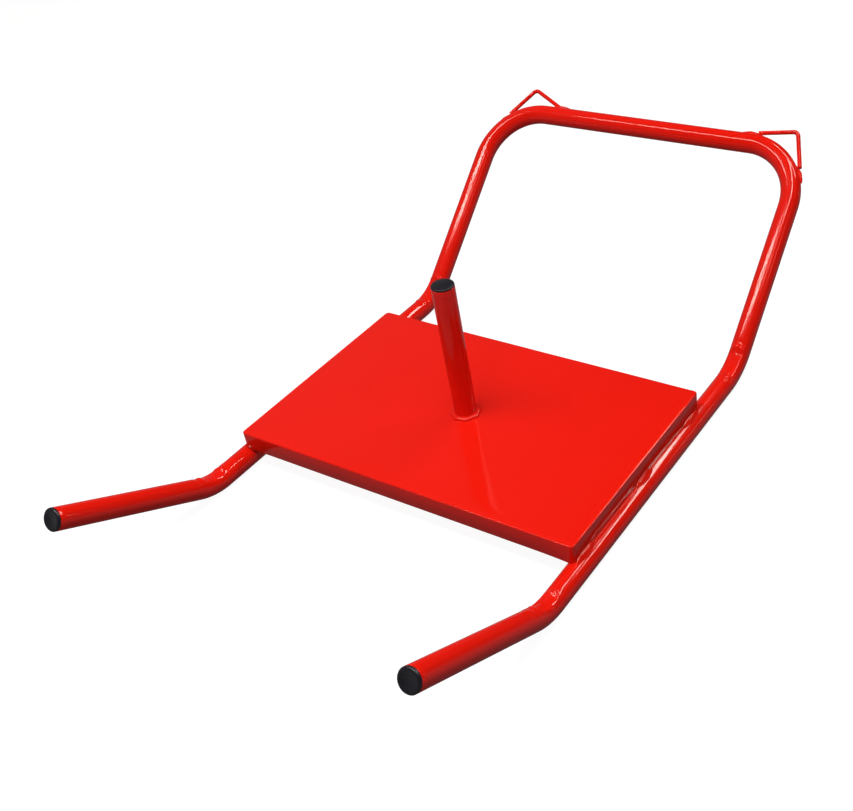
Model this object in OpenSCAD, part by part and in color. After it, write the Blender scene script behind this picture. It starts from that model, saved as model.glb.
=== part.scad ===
// Drag sled: a bent steel tube that slides on the ground, with a folded sheet deck
// and an upright post for weight plates. Millimetres, +Z up, the bow towards +Y.
// The origin is on the ground, at the centre of the whole sled's box.

/* [Frame tube] */
// Outside diameter of the frame tube
tube_d = 25.4; // [22:0.1:28]
// Wall thickness of the frame tube
tube_wall = 2; // [1.2:0.1:3]
// Centreline radius of the six bends
bend_r = 76; // [60:1:85]
// Distance between the centrelines of the two runners
runner_spacing = 460; // [420:1:520]
// From the deck's centre back to the corner of the rear bends
runner_rear = 206; // [190:1:230]
// From the deck's centre forward to the corner of the front bends
runner_front = 239; // [200:1:270]
// Length of a rear leg, from its bend's corner to its tip
rear_leg = 215; // [150:1:260]
// Angle that the rear legs rise at
rear_angle = 29; // [20:0.5:35]
// Length of an upright, from its bend's corner to the crossbar's centreline
upright_len = 295; // [200:1:340]
// Angle that the uprights lean forward at, above the ground
front_angle = 40.5; // [30:0.5:50]

/* [Deck] */
// Width of the deck, across the runners
deck_w = 460; // [440:1:518]
// Length of the deck, along the runners
deck_l = 286; // [280:1:320]
// Height of the deck's top face above the ground
deck_top = 48; // [44:0.5:60]
// Thickness of the deck's sheet
sheet = 2.5; // [1.5:0.1:2.7]
// Radius of the deck's corners, seen from above
deck_corner_r = 5; // [4:0.5:12]
// Outside radius of the fold between the top and the rim
fold_r = 2.9; // [2.8:0.1:3.8]

/* [Weight post] */
// Outside diameter of the post
post_d = 26.7; // [24:0.1:28]
// Wall thickness of the post
post_wall = 2.9; // [2:0.1:3.5]
// Height of the post above the deck
post_h = 172; // [120:1:220]
// Leg of the fillet weld round the foot of the post
post_weld_leg = 4; // [3:0.5:6]
// How deep the post's foot is bevelled for its weld
post_prep = 1; // [0.5:0.1:1.5]
// Side of the square backing plate under the post
doubler_w = 90; // [70:1:120]
// Thickness of the backing plate
doubler_t = 4; // [3:0.5:6]

/* [Plastic plugs and cap] */
// Thickness of an end plug's flat head
plug_head = 3.2; // [2.5:0.1:5]
// Length of a plug's body inside its tube
plug_body = 18; // [12:1:25]
// Height of the post cap's straight edge
cap_edge = 2; // [1.5:0.1:4]
// Height of the post cap's dome above its edge
cap_dome = 2.2; // [1:0.1:4]

/* [Harness loops] */
// Diameter of the loops' rod
rod_d = 5.5; // [4:0.5:8]
// Inside bend radius at a loop's tip
loop_tip_r = 4; // [3:0.5:8]
// How far a loop's sharp tip stands out from the tube's centreline
loop_reach = 39; // [34:1:50]
// Half the angle that a loop's feet span round the bow's corner
foot_angle = 25; // [20:1:32]
// How far the left loop sits round its corner, 0 at the crossbar and 90 at the upright
left_loop_angle = 15; // [10:1:60]
// How far the right loop sits round its corner
right_loop_angle = 30; // [10:1:60]

/* [Welds] */
// Radius of the stitch welds between the deck and the runners
bead_r = 4; // [3:0.5:6]
// Length of a stitch weld
bead_len = 28; // [15:1:30]
// How far ahead of the deck's centre the front stitch welds are
front_weld_y = 118; // [60:1:124]
// How far ahead of the deck's centre the middle stitch welds are
middle_weld_y = 4; // [-20:1:20]
// How far behind the deck's centre the rear stitch welds are
rear_weld_y = 124; // [60:1:124]
// Radius of the beads at the loops' feet
loop_bead_r = 3.6; // [3:0.1:5]
// Length of the beads at the loops' feet
loop_bead_len = 20; // [12:1:26]

/* [Hidden] */

$fn = 96;
past = 1;
lap = 0.3;
draw = 0.04;
paint = "#d2190f";
plastic = "#17181b";

tube_r = tube_d / 2;
post_r = post_d / 2;
rod_r = rod_d / 2;
half_w = runner_spacing / 2;
loop_bend_r = loop_tip_r + rod_r;

// The sled reaches forward to the tip of a loop, and back to the lower edge of a plug.
bow_rise = upright_len * sin(front_angle);
bow_out = runner_front + upright_len * cos(front_angle);
foot_reach = bend_r + tube_r + rod_r;
loop_foot = [foot_reach * sin(foot_angle), foot_reach * cos(foot_angle)];
loop_half = atan(loop_foot.x / (bend_r + loop_reach - loop_foot.y));
tip_centre = bend_r + loop_reach - loop_bend_r / sin(loop_half);
first_loop_angle = min(left_loop_angle, right_loop_angle);
loop_high = tip_centre * cos(first_loop_angle) + loop_bend_r - bend_r;
front_reach = bow_out + loop_high * cos(front_angle) + rod_r;
plug_bevel = 1.2;
plug_flat = plug_head - plug_bevel;
rear_reach = runner_rear + (rear_leg + plug_head) * cos(rear_angle)
    + (tube_r - plug_bevel) * sin(rear_angle);
deck_y = (rear_reach - front_reach) / 2;

rear_y = deck_y - runner_rear;
front_y = deck_y + runner_front;
tip_y = rear_y - rear_leg * cos(rear_angle);
tip_z = tube_r + rear_leg * sin(rear_angle);
bow_y = deck_y + bow_out;
bow_z = tube_r + bow_rise;

// The corners of the tube's centreline, from the left rear tip round to the right one.
frame_path = [
    [-half_w, tip_y, tip_z],
    [-half_w, rear_y, tube_r],
    [-half_w, front_y, tube_r],
    [-half_w, bow_y, bow_z],
    [half_w, bow_y, bow_z],
    [half_w, front_y, tube_r],
    [half_w, rear_y, tube_r],
    [half_w, tip_y, tip_z]
];

rim_z = tube_d;
rim_h = deck_top - rim_z;

// A plug's body: ribs that grip the bore, on a hollow core.
rib_count = 3;
rib_h = 0.8;
rib_depth = 0.95;
rib_clearance = 0.05;
core_wall = 1.8;
cap_inset = 0.2;

// How far a bead's centre lies above the tube, or below the deck's lower edge.
loop_bead_lift = 1;
bead_drop = 0.5;
// A loop's bead is centred this many degrees beyond its foot.
loop_bead_turn = 3;
// The hollow of the post's weld: its centre and radius, in legs of the weld.
hollow_at = 1.25;
hollow_r = 1.05;
doubler_bead_r = doubler_t - 0.5;
doubler_bead_len = 0.4 * doubler_w;

function unit(v) = v / norm(v);

// Half the angle between the two sides of a corner.
function half_corner(a, corner, b) = acos(unit(a - corner) * unit(b - corner)) / 2;

// How far from its corner a bend starts.
function setback(path, i, r) =
    i == 0 || i == len(path) - 1 ? 0 : r / tan(half_corner(path[i - 1], path[i], path[i + 1]));

// The cross-section of a round bar, or of a tube where bore is given.
module section(d, bore) {
    difference() {
        circle(d = d);
        if (bore > 0)
            circle(d = bore);
    }
}

// A straight bar or tube from one point to another.
module straight(a, b, d, bore) {
    v = b - a;
    translate(a)
        rotate([0, acos(v.z / norm(v)), atan2(v.y, v.x)])
            linear_extrude(norm(v))
                section(d, bore);
}

// A bend of centreline radius r at a corner.
module bend(a, corner, b, r, d, bore) {
    half = half_corner(a, corner, b);
    centre = corner + unit(unit(a - corner) + unit(b - corner)) * r / sin(half);
    start = corner + unit(a - corner) * r / tan(half);
    end = corner + unit(b - corner) * r / tan(half);
    x = unit(start - centre);
    z = unit(cross(x, unit(end - centre)));
    y = cross(z, x);
    multmatrix([
        [x.x, y.x, z.x, centre.x],
        [x.y, y.y, z.y, centre.y],
        [x.z, y.z, z.z, centre.z],
        [0, 0, 0, 1]
    ])
        rotate_extrude(angle = 180 - 2 * half)
            translate([r, 0])
                section(d, bore);
}

// A round bar, or a tube, bent at each inner corner of a path. Bending draws the wall a
// little thinner, and the straights lap over the ends of the bends.
module bent_bar(path, r, d, bore = 0) {
    last = len(path) - 1;
    for (i = [0 : last - 1]) {
        along = unit(path[i + 1] - path[i]);
        from = setback(path, i, r) - lap;
        to = setback(path, i + 1, r) - lap;
        straight(path[i] + along * max(from, 0), path[i + 1] - along * max(to, 0), d, bore);
    }
    for (i = [1 : last - 1])
        bend(path[i - 1], path[i], path[i + 1], r, d - draw, bore > 0 ? bore + draw : 0);
}

module frame_tube() {
    color(paint)
        bent_bar(frame_path, bend_r, tube_d, tube_d - 2 * tube_wall);
}

// A block with round corners and a round upper edge, standing on z = 0.
module rounded_block(w, l, h, corner_r, edge_r) {
    dx = w / 2 - corner_r;
    dy = l / 2 - corner_r;
    low = h - edge_r;
    for (sx = [-1, 1], sy = [-1, 1])
        translate([sx * dx, sy * dy, 0])
            rotate_extrude() {
                square([corner_r, low]);
                square([corner_r - edge_r, h]);
                translate([corner_r - edge_r, low])
                    circle(r = edge_r);
            }
    translate([-dx, -l / 2, 0])
        cube([2 * dx, l, low]);
    translate([-w / 2, -dy, 0])
        cube([w, 2 * dy, low]);
    translate([-dx, -l / 2 + edge_r, 0])
        cube([2 * dx, l - 2 * edge_r, h]);
    translate([-w / 2 + edge_r, -dy, 0])
        cube([w - 2 * edge_r, 2 * dy, h]);
    for (s = [-1, 1]) {
        translate([-dx, s * (l / 2 - edge_r), low])
            rotate([0, 90, 0])
                cylinder(r = edge_r, h = 2 * dx);
        translate([s * (w / 2 - edge_r), dy, low])
            rotate([90, 0, 0])
                cylinder(r = edge_r, h = 2 * dy);
    }
}

module deck_solid() {
    translate([0, deck_y, rim_z])
        rounded_block(deck_w, deck_l, rim_h, deck_corner_r, fold_r);
}

module deck_tray() {
    color(paint)
        difference() {
            deck_solid();
            translate([0, deck_y, rim_z - past])
                rounded_block(deck_w - 2 * sheet, deck_l - 2 * sheet, rim_h - sheet + past,
                    deck_corner_r - sheet, fold_r - sheet);
        }
}

// The post's wall stands on a bevelled foot, which its weld fills.
module weight_post() {
    bore_r = post_r - post_wall;
    color(paint)
        translate([0, deck_y, deck_top])
            rotate_extrude()
                polygon([
                    [bore_r, 0],
                    [post_r - post_prep, 0],
                    [post_r, post_weld_leg],
                    [post_r, post_h],
                    [bore_r, post_h]
                ]);
}

// A ribbed plug body that hangs below z = 0 inside a tube.
module plug_spigot(bore_r) {
    rib_r = bore_r - rib_clearance;
    core_r = rib_r - rib_depth;
    difference() {
        union() {
            translate([0, 0, -plug_body])
                cylinder(r = core_r, h = plug_body + plug_flat / 2);
            for (i = [1 : rib_count])
                translate([0, 0, -plug_body * i / (rib_count + 1)])
                    cylinder(r = rib_r, h = rib_h);
        }
        translate([0, 0, -plug_body - past])
            cylinder(r = core_r - core_wall, h = plug_body + past);
    }
}

module post_cap() {
    edge_r = post_r - cap_inset;
    dome_r = (edge_r * edge_r + cap_dome * cap_dome) / (2 * cap_dome);
    color(plastic)
        translate([0, deck_y, deck_top + post_h]) {
            cylinder(r = edge_r, h = cap_edge);
            rotate_extrude()
                intersection() {
                    translate([0, cap_edge + cap_dome - dome_r])
                        circle(r = dome_r, $fn = 720);
                    translate([0, cap_edge / 2])
                        square([edge_r, cap_dome + cap_edge]);
                }
            plug_spigot(post_r - post_wall);
        }
}

module end_plug(side) {
    color(plastic)
        translate([side * half_w, tip_y, tip_z])
            rotate([90 - rear_angle, 0, 0]) {
                cylinder(r = tube_r, h = plug_flat);
                translate([0, 0, plug_flat])
                    cylinder(r1 = tube_r, r2 = tube_r - plug_bevel, h = plug_bevel);
                plug_spigot(tube_r - tube_wall);
            }
}

// The bow's plane: X across, Y up the uprights, origin in the middle of the crossbar.
module in_bow() {
    translate([0, bow_y, bow_z])
        rotate([front_angle, 0, 0])
            children();
}

// A place on a bow corner's centreline, with +Y pointing out of the corner.
module on_corner(side, angle) {
    in_bow()
        if (angle >= 0)
            translate([side * (half_w - bend_r), -bend_r, 0])
                rotate(-side * angle)
                    translate([0, bend_r, 0])
                        children();
        else
            translate([side * (half_w - bend_r + bend_r * angle * PI / 180), 0, 0])
                children();
}

// The frame's outside at one bow corner, without its bore.
module corner_solid(side) {
    middle = [0, bow_y, bow_z];
    bow_corner = [side * half_w, bow_y, bow_z];
    bend(middle, bow_corner, [side * half_w, front_y, tube_r], bend_r, tube_d, 0);
    straight([side * (half_w - bend_r), bow_y, bow_z], (middle + bow_corner) / 2, tube_d, 0);
}

function loop_angle(side) = side < 0 ? left_loop_angle : right_loop_angle;

module harness_loop(side) {
    tip = [0, loop_reach, 0];
    foot = [loop_foot.x, loop_foot.y - bend_r, 0];
    color(paint)
        on_corner(side, loop_angle(side))
            bent_bar([[-foot.x, foot.y, 0], tip, foot], loop_bend_r, rod_d);
}

// The fillet weld round the post: it fills the bevelled foot and has a hollow face.
module post_weld() {
    leg = post_weld_leg;
    color(paint)
        translate([0, deck_y, deck_top])
            rotate_extrude()
                difference() {
                    polygon([
                        [post_r - post_prep, 0],
                        [post_r + leg, 0],
                        [post_r + leg, leg],
                        [post_r, leg]
                    ]);
                    translate([post_r + leg * hollow_at, leg * hollow_at])
                        circle(r = leg * hollow_r);
                }
}

module post_doubler() {
    color(paint)
        translate([-doubler_w / 2, deck_y - doubler_w / 2, deck_top - sheet - doubler_t])
            cube([doubler_w, doubler_w, doubler_t]);
}

// A bead with round ends, centred on the origin and lying along X.
module bead(r, length) {
    straight = length - 2 * r;
    rotate([0, 90, 0])
        cylinder(r = r, h = straight, center = true);
    for (s = [-1, 1])
        translate([s * straight / 2, 0, 0])
            sphere(r = r);
}

module doubler_welds() {
    under = deck_top - sheet;
    color(paint)
        difference() {
            for (turn = [0 : 90 : 270])
                translate([0, deck_y, under])
                    rotate(turn)
                        translate([0, doubler_w / 2, 0])
                            bead(doubler_bead_r, doubler_bead_len);
            translate([-doubler_w, deck_y - doubler_w, under])
                cube([2 * doubler_w, 2 * doubler_w, doubler_w]);
            translate([0, deck_y, under])
                cube(doubler_w, center = true);
        }
}

// A stitch weld in the groove between the deck's rim and a runner, y ahead of the centre.
module deck_weld(side, y) {
    color(paint)
        difference() {
            translate([side * deck_w / 2, deck_y + y, rim_z - bead_drop])
                rotate(90)
                    bead(bead_r, bead_len);
            straight([side * half_w, rear_y, tube_r], [side * half_w, front_y, tube_r], tube_d, 0);
            translate([side * deck_w / 4, deck_y + y, rim_z])
                cube([deck_w / 2, 2 * bead_len, 2 * deck_top], center = true);
        }
}

module loop_weld(side, foot) {
    color(paint)
        difference() {
            on_corner(side, loop_angle(side) + foot * (foot_angle + loop_bead_turn))
                translate([0, tube_r + loop_bead_lift, 0])
                    bead(loop_bead_r, loop_bead_len);
            corner_solid(side);
            harness_loop(side);
        }
}

frame_tube();
deck_tray();
weight_post();
post_cap();
end_plug(-1);  // left_end_plug
end_plug(1);  // right_end_plug
harness_loop(-1);  // left_harness_loop
harness_loop(1);  // right_harness_loop
post_weld();
post_doubler();
doubler_welds();
deck_weld(-1, front_weld_y);  // left_deck_weld_front
deck_weld(-1, middle_weld_y);  // left_deck_weld_middle
deck_weld(-1, -rear_weld_y);  // left_deck_weld_rear
deck_weld(1, front_weld_y);  // right_deck_weld_front
deck_weld(1, middle_weld_y);  // right_deck_weld_middle
deck_weld(1, -rear_weld_y);  // right_deck_weld_rear
loop_weld(-1, -1);  // left_loop_weld_crossbar
loop_weld(-1, 1);  // left_loop_weld_upright
loop_weld(1, -1);  // right_loop_weld_crossbar
loop_weld(1, 1);  // right_loop_weld_upright
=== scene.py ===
"""The looks of a drag sled: its bent frame tube, folded deck, weight post, plugs, loops and welds.

Every piece stands where its CAD node stands, in metres, +Z up, with the bow towards +Y.
"""

import math

import bpy
from mathutils import Matrix, Vector


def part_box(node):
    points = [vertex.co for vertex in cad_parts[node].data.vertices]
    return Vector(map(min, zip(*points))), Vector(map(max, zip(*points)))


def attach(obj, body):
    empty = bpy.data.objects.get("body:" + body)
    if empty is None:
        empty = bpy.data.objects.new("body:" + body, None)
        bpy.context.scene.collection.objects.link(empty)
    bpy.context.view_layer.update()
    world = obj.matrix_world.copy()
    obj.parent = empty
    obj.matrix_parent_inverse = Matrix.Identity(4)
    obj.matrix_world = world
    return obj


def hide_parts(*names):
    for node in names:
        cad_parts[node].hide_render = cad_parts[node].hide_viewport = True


MM = 0.001

# Driving sizes, as in the design.
TUBE_R = 12.7 * MM
TUBE_WALL = 2 * MM
BEND_R = 76 * MM
REAR_LEG = 215 * MM
REAR_ANGLE = math.radians(29)
FRONT_ANGLE = math.radians(40.5)
SHEET = 2.5 * MM
DECK_CORNER_R = 5 * MM
FOLD_R = 1.4 * MM
POST_WALL = 2.9 * MM
PLUG_HEAD = 3.2 * MM
PLUG_BODY = 18 * MM
ROD_R = 2.75 * MM
LOOP_BEND_R = 6.75 * MM
LOOP_REACH = 39 * MM
FOOT_ANGLE = math.radians(25)
LOOP_ANGLES = {"left": math.radians(15), "right": math.radians(30)}
SIDES = {"left": -1, "right": 1}

# Welds: half width, thickness and lumps of a bead, and how a deck bead sits outside the rim.
DECK_BEAD = (5.6 * MM, 1.5 * MM, 0.25 * MM)
DECK_BEAD_PAST = 8 * MM
DECK_BEAD_OUT = 2.1 * MM
DECK_BEAD_UP = 0.7 * MM
DECK_BEAD_LEAN = math.radians(40)
LOOP_BEAD = (3.5 * MM, 2.9 * MM, 0.6 * MM)
LOOP_BEAD_LENGTHS = {"crossbar": 30 * MM, "upright": 24 * MM}
LOOP_BEAD_PAST = math.radians(6)
BEAD_RING_GAP = 0.8 * MM

# How many close rings run on into the straights from each bend.
RUN_RINGS = 8

# Lamps: the ceiling's height, and the warm white of those that show in gloss.
CEILING = 2.4
WARM_WHITE = (1, 0.93, 0.85)

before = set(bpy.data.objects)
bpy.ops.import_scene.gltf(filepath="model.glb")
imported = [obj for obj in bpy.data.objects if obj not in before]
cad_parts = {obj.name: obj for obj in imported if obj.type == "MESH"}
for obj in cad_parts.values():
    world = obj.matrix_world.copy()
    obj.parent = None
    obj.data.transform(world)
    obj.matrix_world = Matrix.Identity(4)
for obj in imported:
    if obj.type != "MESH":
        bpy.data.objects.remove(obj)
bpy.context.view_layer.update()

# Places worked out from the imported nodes.
tube_low, tube_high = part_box("frame_tube")
deck_low, deck_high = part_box("deck_tray")
post_low, post_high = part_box("weight_post")
half_spacing = tube_high.x - TUBE_R
bow_y = tube_high.y - TUBE_R
bow_z = tube_high.z - TUBE_R
tip_y = tube_low.y + TUBE_R * math.sin(REAR_ANGLE)
tip_z = TUBE_R + REAR_LEG * math.sin(REAR_ANGLE)
rear_y = tip_y + REAR_LEG * math.cos(REAR_ANGLE)
front_y = bow_y - (bow_z - TUBE_R) / math.tan(FRONT_ANGLE)
deck_mid = (deck_low + deck_high) / 2
deck_top = deck_high.z
post_r = (post_high.x - post_low.x) / 2
post_foot = Vector((0, deck_mid.y, deck_top))


# ---- Modelling helpers ----

def new_piece(name, add, **size):
    """Adds a primitive at its place and opens it for editing, all selected."""
    if bpy.context.mode != "OBJECT":
        bpy.ops.object.mode_set(mode="OBJECT")
    bpy.ops.object.select_all(action="DESELECT")
    add(**size)
    piece = bpy.context.active_object
    piece.name = name
    piece.data.name = name
    bpy.ops.object.transform_apply(location=True, rotation=True, scale=True)
    bpy.ops.object.mode_set(mode="EDIT")
    bpy.ops.mesh.select_mode(type="EDGE")
    bpy.ops.mesh.select_all(action="SELECT")
    return piece


def pick(piece, kind, wanted):
    """Selects the vertices, edges or faces whose middle is a wanted place, and says how many."""
    bpy.ops.object.mode_set(mode="OBJECT")
    mesh = piece.data
    for group in (mesh.vertices, mesh.edges, mesh.polygons):
        group.foreach_set("select", [False] * len(group))
    spots = [v.co for v in mesh.vertices]
    count = 0
    group = {"VERT": mesh.vertices, "EDGE": mesh.edges, "FACE": mesh.polygons}[kind]
    for item in group:
        if kind == "VERT":
            middle = item.co
        elif kind == "EDGE":
            middle = (spots[item.vertices[0]] + spots[item.vertices[1]]) / 2
        else:
            middle = item.center
        if wanted(middle):
            item.select = True
            count += 1
    bpy.ops.object.mode_set(mode="EDIT")
    bpy.ops.mesh.select_mode(type=kind)
    return count


def extrude(step):
    """Extrudes what is selected by one step."""
    bpy.ops.mesh.extrude_region_move(TRANSFORM_OT_translate={"value": step})


def extrude_line(start, end, ring_gap):
    """Extrudes the selected ring from start to end, a ring every ring_gap or so."""
    rings = max(1, round((end - start).length / ring_gap))
    for _ in range(rings):
        extrude((end - start) / rings)


def grow(factors, centre):
    """Scales what is selected about a centre."""
    bpy.ops.transform.resize(value=factors, center_override=centre)


def push(step, reach, falloff="SMOOTH"):
    """Moves what is selected, and carries its surroundings along within reach."""
    bpy.ops.transform.translate(
        value=step, use_proportional_edit=True, use_proportional_connected=True,
        proportional_edit_falloff=falloff, proportional_size=reach)


def heal():
    """Merges doubles and turns all faces outwards."""
    bpy.ops.mesh.select_all(action="SELECT")
    bpy.ops.mesh.remove_doubles(threshold=0.01 * MM)
    bpy.ops.mesh.normals_make_consistent(inside=False)


def add_modifier(piece, kind, **settings):
    """Adds a modifier and applies it."""
    if bpy.context.mode != "OBJECT":
        bpy.ops.object.mode_set(mode="OBJECT")
    modifier = piece.modifiers.new(kind.title(), kind)
    for setting, value in settings.items():
        setattr(modifier, setting, value)
    bpy.ops.object.modifier_apply(modifier=modifier.name)


def roughen(piece, size, strength):
    """Moves the surface in and out by a smooth cloud pattern of the given size."""
    clouds = bpy.data.textures.new(piece.name + "_clouds", "CLOUDS")
    clouds.noise_scale = size
    add_modifier(piece, "DISPLACE", texture=clouds, strength=strength, texture_coords="LOCAL")


def finish_piece(piece, material, slot, *nodes):
    """Smooths a piece, paints it and sets it in the place of its CAD nodes."""
    if bpy.context.mode != "OBJECT":
        bpy.ops.object.mode_set(mode="OBJECT")
    bpy.ops.object.transform_apply(location=True, rotation=True, scale=True)
    bpy.ops.object.shade_smooth_by_angle(angle=math.radians(40))
    piece.data.materials.clear()
    piece.data.materials.append(material)
    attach(piece, "root")
    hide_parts(*nodes)
    return piece


def bent_bar(name, corners, bar_r, bend_r, sides, ring_gap, bend_gap):
    """A round bar's skin along a path, with a bend and closer rings at each inner corner."""
    first = (corners[1] - corners[0]).to_track_quat("Z", "Y").to_euler()
    piece = new_piece(name, bpy.ops.mesh.primitive_circle_add,
                      vertices=sides, radius=bar_r, location=corners[0], rotation=first)
    place = corners[0]
    for before, corner, after in zip(corners, corners[1:], corners[2:]):
        into = (corner - before).normalized()
        out = (after - corner).normalized()
        turn = into.angle(out)
        setback = bend_r * math.tan(turn / 2)
        start = corner - into * setback
        run_in = into * bend_gap * RUN_RINGS
        extrude_line(place, start - run_in, ring_gap)
        extrude_line(start - run_in, start, bend_gap)
        axis = into.cross(out).normalized()
        bpy.ops.mesh.spin(steps=max(6, round(bend_r * turn / bend_gap)), angle=-turn, axis=axis,
                          center=start + axis.cross(into) * bend_r)
        place = corner + out * (setback + bend_gap * RUN_RINGS)
        extrude_line(corner + out * setback, place, bend_gap)
    extrude_line(place, corners[-1], ring_gap)
    return piece


# ---- Materials ----

def shader(material, kind, **sockets):
    """Adds a shader node and sets its sockets, named with underscores for spaces."""
    node = material.node_tree.nodes.new(kind)
    for socket, value in sockets.items():
        node.inputs[socket.replace("_", " ")].default_value = value
    return node


def wire(material, *pairs):
    """Joins node outputs to inputs, each pair given as (node, output, node, input)."""
    for source, output, target, socket in pairs:
        material.node_tree.links.new(source.outputs[output], target.inputs[socket])


def blank_material(name):
    material = bpy.data.materials.new(name)
    material.use_nodes = True
    material.node_tree.nodes.clear()
    return material


def blend_colours(material, dark, light):
    """A mix node between two colours."""
    mix = material.node_tree.nodes.new("ShaderNodeMix")
    mix.data_type = "RGBA"
    mix.inputs["A"].default_value = (*dark, 1)
    mix.inputs["B"].default_value = (*light, 1)
    return mix


def spread(material, low, high, to_low=0.0, to_high=1.0):
    """A map range node that clamps."""
    return shader(material, "ShaderNodeMapRange", From_Min=low, From_Max=high,
                  To_Min=to_low, To_Max=to_high)


def powder_coat():
    """Red powder coat: glossy, with a fine orange peel, faint clouding and a few dust nibs."""
    paint = blank_material("red_powder_coat")
    out = shader(paint, "ShaderNodeOutputMaterial")
    gloss = shader(paint, "ShaderNodeBsdfPrincipled", IOR=1.5, Specular_IOR_Level=0.42)
    where = shader(paint, "ShaderNodeTexCoord")
    clouds = shader(paint, "ShaderNodeTexNoise", Scale=9.0, Detail=3.0, Roughness=0.55)
    tint = blend_colours(paint, (0.76, 0.0094, 0.0034), (0.82, 0.0106, 0.0042))
    satin = shader(paint, "ShaderNodeTexNoise", Scale=40.0, Detail=4.0, Roughness=0.6)
    satin_range = spread(paint, 0.3, 0.7, 0.06, 0.12)
    peel = shader(paint, "ShaderNodeTexNoise", Scale=700.0, Detail=2.0, Roughness=0.5)
    ripple = shader(paint, "ShaderNodeTexNoise", Scale=150.0, Detail=1.0)
    cells = shader(paint, "ShaderNodeTexVoronoi", Scale=34.0)
    nib = spread(paint, 0.0, 0.028, 1.0, 0.0)
    peel_bump = shader(paint, "ShaderNodeBump", Strength=0.07, Distance=0.3 * MM)
    ripple_bump = shader(paint, "ShaderNodeBump", Strength=0.05, Distance=0.8 * MM)
    nib_bump = shader(paint, "ShaderNodeBump", Strength=0.8, Distance=0.3 * MM)
    for texture in (clouds, satin, peel, ripple, cells):
        wire(paint, (where, "Object", texture, "Vector"))
    wire(
        paint,
        (clouds, "Fac", tint, "Factor"), (tint, "Result", gloss, "Base Color"),
        (satin, "Fac", satin_range, "Value"), (satin_range, "Result", gloss, "Roughness"),
        (cells, "Distance", nib, "Value"),
        (ripple, "Fac", ripple_bump, "Height"),
        (nib, "Result", nib_bump, "Height"), (ripple_bump, "Normal", nib_bump, "Normal"),
        (peel, "Fac", peel_bump, "Height"), (nib_bump, "Normal", peel_bump, "Normal"),
        (peel_bump, "Normal", gloss, "Normal"), (gloss, "BSDF", out, "Surface"),
    )
    return paint


def moulded_plastic():
    """Black moulded plastic: a fine grain and slightly scuffed sheen."""
    plastic = blank_material("black_plastic")
    out = shader(plastic, "ShaderNodeOutputMaterial")
    sheen = shader(plastic, "ShaderNodeBsdfPrincipled", IOR=1.49, Specular_IOR_Level=0.5)
    where = shader(plastic, "ShaderNodeTexCoord")
    clouds = shader(plastic, "ShaderNodeTexNoise", Scale=160.0, Detail=4.0, Roughness=0.6)
    tint = blend_colours(plastic, (0.007, 0.007, 0.010), (0.016, 0.015, 0.021))
    scuffs = shader(plastic, "ShaderNodeTexNoise", Scale=420.0, Detail=5.0, Roughness=0.7)
    scuff_range = spread(plastic, 0.3, 0.7, 0.24, 0.40)
    grain = shader(plastic, "ShaderNodeTexNoise", Scale=2600.0, Detail=2.0)
    grain_bump = shader(plastic, "ShaderNodeBump", Strength=0.25, Distance=0.06 * MM)
    for texture in (clouds, scuffs, grain):
        wire(plastic, (where, "Object", texture, "Vector"))
    wire(
        plastic,
        (clouds, "Fac", tint, "Factor"), (tint, "Result", sheen, "Base Color"),
        (scuffs, "Fac", scuff_range, "Value"), (scuff_range, "Result", sheen, "Roughness"),
        (grain, "Fac", grain_bump, "Height"), (grain_bump, "Normal", sheen, "Normal"),
        (sheen, "BSDF", out, "Surface"),
    )
    return plastic


# ---- The frame ----

def side_path(side):
    """The corners of the tube's centreline on one side, from the rear tip to the bow."""
    x = side * half_spacing
    return [
        Vector((x, tip_y, tip_z)), Vector((x, rear_y, TUBE_R)),
        Vector((x, front_y, TUBE_R)), Vector((x, bow_y, bow_z)),
    ]


def runner_bends():
    """Centre, middle direction and half angle of the bends at both ends of each runner."""
    for side in SIDES.values():
        for y, angle, away in ((rear_y, REAR_ANGLE, 1), (front_y, FRONT_ANGLE, -1)):
            start_y = y + away * BEND_R * math.tan(angle / 2)
            centre = Vector((side * half_spacing, start_y, TUBE_R + BEND_R))
            inwards = Vector((0, away * math.sin(angle / 2), math.cos(angle / 2)))
            yield centre, inwards, angle / 2


def rub_marks(piece, inner, along, inwards, seed):
    """Shallow dents and rises in a wavy line along the inside of a bend."""
    for i in range(9):
        sway = Vector((7 * MM * math.sin(2.4 * i + seed), 0, 0))
        rub = inner + along * (7.5 * i - 30) * MM + sway
        if pick(piece, "VERT", lambda spot: (spot - rub).length < 3.5 * MM):
            push(inwards * (0.35 if i % 2 else -0.3) * MM, 3.5 * MM)


def press_marks(piece):
    """What the bending die leaves inside the runners' bends: a flat, crescents at its ends, rubs."""
    for number, (centre, inwards, half) in enumerate(runner_bends()):
        along = Vector((0, inwards.z, -inwards.y))
        inner = centre - inwards * (BEND_R - TUBE_R)

        def near(spot, reach_along, reach_across, at=0.0, curl=0.0):
            offset = spot - inner
            far = offset.dot(along) - at - curl * (offset.x / TUBE_R) ** 2
            return (abs(far) < reach_along and abs(offset.x) < reach_across
                    and offset.dot(inwards) > -TUBE_R * 0.75)

        flat = (BEND_R - TUBE_R) * math.sin(half) * 0.75
        if pick(piece, "VERT", lambda spot: near(spot, flat, 4.5 * MM)):
            push(-inwards * 1.7 * MM, 6 * MM)
        for end in (-1, 1):
            ridge = end * (flat + (5 + 2 * (number % 2)) * MM)
            curl = -end * 9 * MM
            if pick(piece, "VERT", lambda spot: near(spot, 1.1 * MM, 8.5 * MM, ridge, curl)):
                push(inwards * 1.1 * MM, 3 * MM)
            nick = ridge + end * 5 * MM
            if pick(piece, "VERT", lambda spot: near(spot, 1.2 * MM, 6 * MM, nick, curl)):
                push(-inwards * 0.7 * MM, 3 * MM)
        rub_marks(piece, inner, along, inwards, number)


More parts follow.
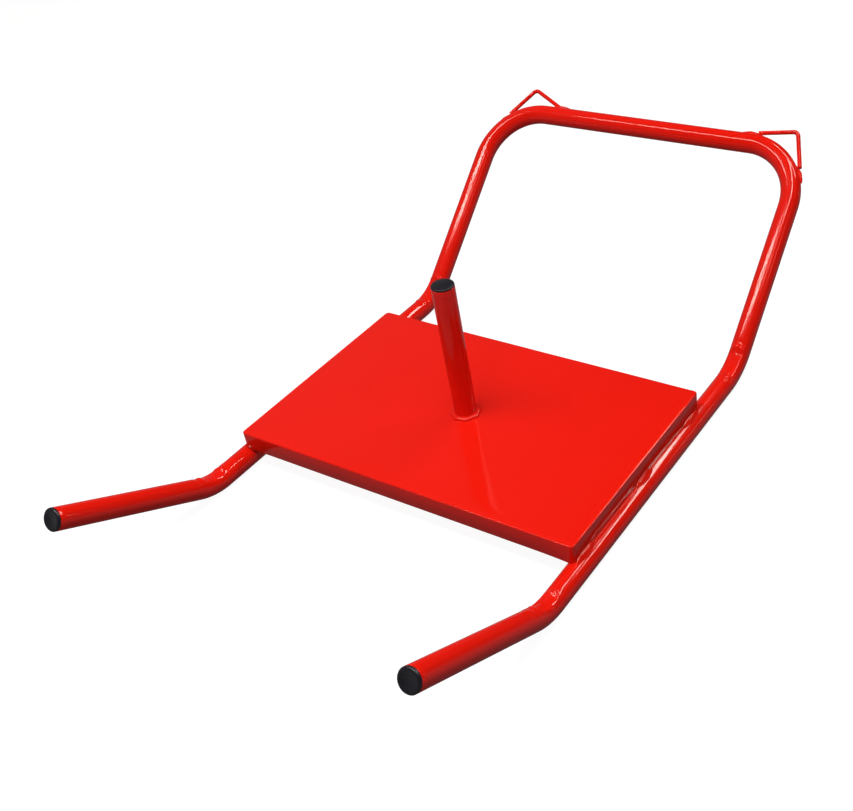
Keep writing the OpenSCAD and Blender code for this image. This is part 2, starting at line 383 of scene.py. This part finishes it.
def model_frame_tube(paint):
    left = side_path(SIDES["left"])
    right = side_path(SIDES["right"])
    piece = bent_bar("frame_tube_skin", left + right[::-1], TUBE_R, BEND_R, 64, 8 * MM, 2 * MM)
    heal()
    press_marks(piece)
    add_modifier(piece, "SOLIDIFY", thickness=TUBE_WALL, offset=-1)
    add_modifier(piece, "BEVEL", width=0.5 * MM, segments=2, limit_method="ANGLE",
                 angle_limit=math.radians(60))
    finish_piece(piece, paint, "red_powder_coat", "frame_tube")


def model_deck(paint):
    """The folded deck: a block with round corners and folds, open below, one corner bent down."""
    size = deck_high - deck_low
    piece = new_piece("deck_pan", bpy.ops.mesh.primitive_cube_add, size=1, scale=size,
                      location=deck_mid)
    corner = Vector((size.x / 2, size.y / 2, 0))
    pick(piece, "EDGE", lambda at: abs(abs(at.x) - corner.x) < MM
         and abs(abs(at.y - deck_mid.y) - corner.y) < MM)
    bpy.ops.mesh.bevel(offset=DECK_CORNER_R, segments=8, affect="EDGES")
    pick(piece, "EDGE", lambda at: abs(at.z - deck_top) < MM)
    bpy.ops.mesh.bevel(offset=FOLD_R, segments=5, affect="EDGES")
    pick(piece, "FACE", lambda at: abs(at.z - deck_low.z) < MM)
    bpy.ops.mesh.delete(type="FACE")
    for share in range(1, 24):
        cut = deck_low.x + size.x * share / 24
        bpy.ops.mesh.select_all(action="SELECT")
        bpy.ops.mesh.bisect(plane_co=(cut, 0, 0), plane_no=(1, 0, 0))
    for share in range(1, 15):
        cut = deck_low.y + size.y * share / 15
        bpy.ops.mesh.select_all(action="SELECT")
        bpy.ops.mesh.bisect(plane_co=(0, cut, 0), plane_no=(0, 1, 0))
    heal()
    near_right = Vector((deck_high.x, deck_low.y, deck_low.z))
    pick(piece, "VERT", lambda at: (at - near_right).length < 7 * MM)
    push((0, 0, -1.4 * MM), 26 * MM)
    roughen(piece, 0.09, 0.4 * MM)
    add_modifier(piece, "SOLIDIFY", thickness=SHEET, offset=-1, use_even_offset=True)
    add_modifier(piece, "BEVEL", width=0.6 * MM, segments=2, limit_method="ANGLE",
                 angle_limit=math.radians(50))
    finish_piece(piece, paint, "red_powder_coat", "deck_tray")


def model_post(paint):
    """The post: a tube whose rim shows under its cap."""
    piece = new_piece("post_tube", bpy.ops.mesh.primitive_circle_add, vertices=80,
                      radius=post_r, location=post_foot)
    extrude_line(post_foot, Vector((0, post_foot.y, post_high.z)), 6 * MM)
    heal()
    roughen(piece, 0.05, 0.3 * MM)
    add_modifier(piece, "SOLIDIFY", thickness=POST_WALL, offset=-1)
    add_modifier(piece, "BEVEL", width=0.5 * MM, segments=3, limit_method="ANGLE",
                 angle_limit=math.radians(50))
    finish_piece(piece, paint, "red_powder_coat", "weight_post")


# ---- Plugs and cap ----

def plug(name, nodes, outline, bore_r, place, plastic):
    """A plug turned from an outline of (radius, height) steps, then its stepped body below."""
    start_r, start_z = outline[0]
    piece = new_piece(name, bpy.ops.mesh.primitive_circle_add, vertices=72,
                      radius=start_r, fill_type="NGON", location=(0, 0, start_z))
    was_r, was_z = start_r, start_z
    body = [(bore_r, 0), (bore_r, -4 * MM), (bore_r - MM, -5 * MM), (bore_r - MM, -PLUG_BODY)]
    for r, z in outline[1:] + body:
        extrude((0, 0, z - was_z))
        grow((r / was_r, r / was_r, 1), (0, 0, z))
        was_r, was_z = r, z
    heal()
    bpy.ops.object.mode_set(mode="OBJECT")
    add_modifier(piece, "BEVEL", width=0.35 * MM, segments=3, limit_method="ANGLE",
                 angle_limit=math.radians(35))
    piece.matrix_world = place
    finish_piece(piece, plastic, "black_plastic", *nodes)


def model_plugs(plastic):
    flat = TUBE_R - 1.5 * MM
    outline = [
        (flat * 0.72, PLUG_HEAD - 0.35 * MM), (flat * 0.78, PLUG_HEAD), (flat, PLUG_HEAD),
        (TUBE_R - 0.4 * MM, PLUG_HEAD - 1.0 * MM), (TUBE_R, PLUG_HEAD - 1.7 * MM),
        (TUBE_R - 0.1 * MM, 0.0),
    ]
    for name, side in SIDES.items():
        place = Matrix.Translation((side * half_spacing, tip_y, tip_z))
        turn = Matrix.Rotation(math.pi / 2 - REAR_ANGLE, 4, "X")
        plug(name + "_tube_plug", [name + "_end_plug"], outline, TUBE_R - TUBE_WALL,
             place @ turn, plastic)


def model_post_cap(plastic):
    low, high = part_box("post_cap")
    edge_r = (high.x - low.x) / 2
    top = high.z - post_high.z
    edge = 2 * MM
    outline = []
    for share in (0.12, 0.3, 0.5, 0.7, 0.86):
        outline.append((edge_r * share, top - (top - edge) * share ** 2.4))
    outline += [(edge_r - 0.5 * MM, edge + 0.35 * MM), (edge_r, edge - 0.2 * MM), (edge_r, 0.0)]
    place = Matrix.Translation((0, deck_mid.y, post_high.z))
    plug("post_cap_moulding", ["post_cap"], outline, post_r - POST_WALL, place, plastic)


# ---- Harness loops and welds ----

def bow_frame(side, angle):
    """A place on a bow corner's centreline: X along the tube, Y out of the corner, Z off its plane."""
    bow = Matrix.Translation((0, bow_y, bow_z)) @ Matrix.Rotation(FRONT_ANGLE, 4, "X")
    mirrored = Matrix.Diagonal((side, 1, 1, 1))
    corner_x = half_spacing - BEND_R
    if angle >= 0:
        around = Matrix.Translation((corner_x, -BEND_R, 0)) @ Matrix.Rotation(-angle, 4, "Z")
        return bow @ mirrored @ around @ Matrix.Translation((0, BEND_R, 0))
    return bow @ mirrored @ Matrix.Translation((corner_x + BEND_R * angle, 0, 0))


def model_loops(paint):
    foot_reach = BEND_R + TUBE_R + ROD_R
    foot = Vector((foot_reach * math.sin(FOOT_ANGLE), foot_reach * math.cos(FOOT_ANGLE) - BEND_R, 0))
    tip = Vector((0, LOOP_REACH, 0))
    for name, side in SIDES.items():
        place = bow_frame(side, LOOP_ANGLES[name])
        corners = [place @ Vector((-foot.x, foot.y, 0)), place @ tip, place @ foot]
        piece = bent_bar(name + "_loop_rod", corners, ROD_R, LOOP_BEND_R, 24, 3 * MM, 0.8 * MM)
        bpy.ops.mesh.select_all(action="DESELECT")
        bpy.ops.mesh.select_non_manifold()
        bpy.ops.mesh.fill()
        heal()
        roughen(piece, 0.012, 0.3 * MM)
        finish_piece(piece, paint, "red_powder_coat", name + "_harness_loop")


def bead_swells(rings, seed):
    """How full a bead is at each ring: pointed at its ends, and in between like laid puddles."""
    swells = []
    for i in range(rings + 1):
        from_middle = abs(2 * i / rings - 1)
        taper = (1 - from_middle ** 1.9) ** 0.85
        puddle = 1 + 0.05 * math.sin(i * 1.35 + seed) + 0.05 * math.sin(i * 0.41 + 2 * seed)
        swells.append(max(0.12, taper * puddle))
    return swells


def weld_bead(name, length, section, place, seed, paint, node):
    """A run of weld along X, of section (half width, thickness, lumps)."""
    half_width, thickness, lumps = section
    start = Vector((-length / 2, 0, 0))
    piece = new_piece(name, bpy.ops.mesh.primitive_circle_add, vertices=20, radius=half_width,
                      fill_type="NGON", location=start, rotation=(0, math.pi / 2, 0))
    rings = round(length / BEAD_RING_GAP)
    swells = bead_swells(rings, seed)
    grow((swells[0],) * 3, start)
    for i in range(rings):
        extrude((length / rings, 0, 0))
        step = swells[i + 1] / swells[i]
        grow((1, step, step), start + Vector((length * (i + 1) / rings, 0, 0)))
    heal()
    grow((1, 1, thickness / half_width), (0, 0, 0))
    add_modifier(piece, "SUBSURF", levels=1, render_levels=1)
    # Roughened away from its place, so that each bead meets its own part of the cloud pattern.
    piece.location = (seed * 0.05, 0, 0)
    bpy.ops.object.transform_apply(location=True)
    roughen(piece, 0.004, lumps)
    piece.location = (-seed * 0.05, 0, 0)
    bpy.ops.object.transform_apply(location=True)
    piece.matrix_world = place
    finish_piece(piece, paint, "red_powder_coat", node)


def model_deck_welds(paint):
    for name, side in SIDES.items():
        for i, spot in enumerate(("front", "middle", "rear")):
            node = f"{name}_deck_weld_{spot}"
            low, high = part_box(node)
            middle = (low + high) / 2
            at = Vector((side * (deck_high.x + DECK_BEAD_OUT), middle.y, deck_low.z + DECK_BEAD_UP))
            lean = Matrix.Rotation(side * DECK_BEAD_LEAN, 4, "Y")
            turn = Matrix.Rotation(math.pi / 2, 4, "Z")
            weld_bead(node.replace("weld", "bead"), high.y - low.y + DECK_BEAD_PAST, DECK_BEAD,
                      Matrix.Translation(at) @ lean @ turn, 1 + i + 3 * (side > 0), paint, node)


def model_loop_welds(paint):
    feet = {"crossbar": -1, "upright": 1}
    for name, side in SIDES.items():
        for i, (foot, way) in enumerate(feet.items()):
            node = f"{name}_loop_weld_{foot}"
            angle = LOOP_ANGLES[name] + way * (FOOT_ANGLE + LOOP_BEAD_PAST)
            place = bow_frame(side, angle) @ Matrix.Translation((0, TUBE_R + 0.3 * MM, 0))
            flat = Matrix.Rotation(-math.pi / 2, 4, "X")
            weld_bead(node.replace("weld", "bead"), LOOP_BEAD_LENGTHS[foot], LOOP_BEAD,
                      place @ flat, 8 + i + 2 * (side > 0), paint, node)


def model_post_weld(paint):
    """The fillet round the post's foot: a low ring with lumps where the arc stopped and started."""
    piece = new_piece("post_fillet", bpy.ops.mesh.primitive_torus_add, major_radius=post_r + 0.6 * MM,
                      minor_radius=3.9 * MM, major_segments=96, minor_segments=18,
                      location=post_foot)
    grow((1, 1, 0.95), post_foot)
    lumps = 14
    for i in range(lumps):
        angle = 2 * math.pi * i / lumps + 0.35 * math.sin(5 * i)
        outward = Vector((math.cos(angle), math.sin(angle), 0))
        rim = post_foot + outward * (post_r + 3.4 * MM) + Vector((0, 0, 0.8 * MM))
        if pick(piece, "VERT", lambda spot: (spot - rim).length < 1.6 * MM):
            size = (0.35 + 0.65 * abs(math.sin(7.3 * i + 1))) * MM
            push(outward * size + Vector((0, 0, 0.35 * size)), 3 * MM)
    bpy.ops.object.mode_set(mode="OBJECT")
    roughen(piece, 0.005, 1.2 * MM)
    finish_piece(piece, paint, "red_powder_coat", "post_weld")


def paint_backing_plate(paint):
    """Paints the plate and beads hidden under the deck, which keep their CAD shape."""
    for name in ("post_doubler", "doubler_welds"):
        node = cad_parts[name]
        node.data.materials.clear()
        node.data.materials.append(paint)


# ---- Floor, light and camera ----

def set_floor():
    """A pale floor that rises into a backdrop all round, and sends no light back."""
    material = blank_material("studio_floor")
    out = shader(material, "ShaderNodeOutputMaterial")
    matt = shader(material, "ShaderNodeBsdfDiffuse", Color=(0.15, 0.15, 0.15, 1))
    glow = shader(material, "ShaderNodeEmission", Color=(1, 1, 1, 1), Strength=0.94)
    both = shader(material, "ShaderNodeAddShader")
    material.node_tree.links.new(matt.outputs[0], both.inputs[0])
    material.node_tree.links.new(glow.outputs[0], both.inputs[1])
    wire(material, (both, "Shader", out, "Surface"))
    piece = new_piece("floor", bpy.ops.mesh.primitive_circle_add, vertices=96, radius=4,
                      fill_type="NGON", location=(0, 0, 0))
    for rise, widen in ((0.05, 1.06), (0.25, 1.10), (0.7, 1.08), (1.5, 1.02)):
        extrude((0, 0, rise))
        grow((widen, widen, 1), (0, 0, 0))
    bpy.ops.object.mode_set(mode="OBJECT")
    bpy.ops.object.shade_smooth()
    piece.data.materials.append(material)
    piece.visible_diffuse = False
    piece.visible_glossy = False
    piece.visible_shadow = False


def softbox(name, place, size, radiance, aim=None, mirrored=True, lighting=True):
    """A rectangular soft light that faces aim, or straight down.

    A mirrored light shows in gloss, and a lighting one brightens matt colour.
    """
    data = bpy.data.lights.new(name, "AREA")
    data.shape = "RECTANGLE"
    data.size, data.size_y = size
    data.energy = radiance * math.pi * size[0] * size[1]
    if mirrored:
        data.color = WARM_WHITE
    light = bpy.data.objects.new(name, data)
    light.location = place
    if aim:
        light.rotation_euler = (Vector(place) - Vector(aim)).to_track_quat("Z", "Y").to_euler()
    light.visible_camera = False
    light.visible_glossy = mirrored
    light.visible_diffuse = lighting
    bpy.context.scene.collection.objects.link(light)


def set_room():
    """The room round the sled: bright near the floor, dim straight below, dark above but on the left."""
    room = bpy.data.worlds.new("studio")
    room.use_nodes = True
    sky = room.node_tree.nodes["Background"]
    sky.inputs["Color"].default_value = (1, 1, 1, 1)
    where = shader(room, "ShaderNodeTexCoord")
    way = shader(room, "ShaderNodeSeparateXYZ")
    wall = spread(room, -0.35, -0.65, 0.02, 0.14)
    lower = spread(room, 0.05, -0.15)
    level = room.node_tree.nodes.new("ShaderNodeMix")
    under = spread(room, -0.45, -0.95, 0.22, 0.08)
    wire(
        room,
        (where, "Generated", way, "Vector"), (way, "X", wall, "Value"), (way, "Z", lower, "Value"),
        (way, "Z", under, "Value"), (lower, "Result", level, "Factor"),
        (wall, "Result", level, "A"), (under, "Result", level, "B"),
        (level, "Result", sky, "Strength"),
    )
    bpy.context.scene.world = room


def set_lights():
    """Rows of ceiling lamps that draw the highlights, and two hidden lights that fill the colour."""
    middle = (0, 0, 0.1)
    softbox("rear_row", (-0.62, -0.67, CEILING), (1.75, 0.10), 24.0)
    softbox("rear_row_behind", (-0.62, -0.85, CEILING), (1.75, 0.10), 24.0)
    softbox("rear_lamp", (1.3, -0.7, CEILING), (0.4, 0.14), 6.0)
    softbox("front_row", (1.2, 2.2, CEILING), (2.4, 0.30), 18.0)
    softbox("side_lamp", (3.7, -0.1, CEILING), (0.25, 0.4), 3.0, middle)
    softbox("low_lamp", (2.2, 2.0, 0.5), (0.3, 0.1), 4.0, middle)
    softbox("right_row", (0.93, 0.55, CEILING), (0.16, 2.3), 24.0, lighting=False)
    softbox("overhead", (0.2, -0.45, CEILING), (1.5, 1.3), 6.2, mirrored=False)
    softbox("front_fill", (0.9, -2.7, 1.2), (1.0, 1.0), 3.5, middle, mirrored=False)


def set_camera():
    azimuth, elevation, roll = map(math.radians, (37.39, 36.30, -8.39))
    back = Vector((math.sin(azimuth) * math.cos(elevation),
                   -math.cos(azimuth) * math.cos(elevation), math.sin(elevation)))
    level = (-back).cross(Vector((0, 0, 1))).normalized()
    upright = level.cross(-back)
    right = level * math.cos(roll) + upright * math.sin(roll)
    up = upright * math.cos(roll) - level * math.sin(roll)
    data = bpy.data.cameras.new("camera")
    data.sensor_width = 36
    data.lens = 49.16
    data.shift_x = -0.117
    data.clip_start = 0.05
    camera = bpy.data.objects.new("camera", data)
    turned = Matrix((right, up, back)).transposed().to_4x4()
    camera.matrix_world = Matrix.Translation((0.7257, -0.8771, 0.8545)) @ turned
    bpy.context.scene.collection.objects.link(camera)
    bpy.context.scene.camera = camera


# ---- Making it all ----

paint = powder_coat()
plastic = moulded_plastic()
model_frame_tube(paint)
model_deck(paint)
model_post(paint)
model_plugs(plastic)
model_post_cap(plastic)
model_loops(paint)
model_post_weld(paint)
model_deck_welds(paint)
model_loop_welds(paint)
paint_backing_plate(paint)
set_floor()
set_room()
set_lights()
set_camera()
bpy.context.scene.view_settings.view_transform = "Standard"
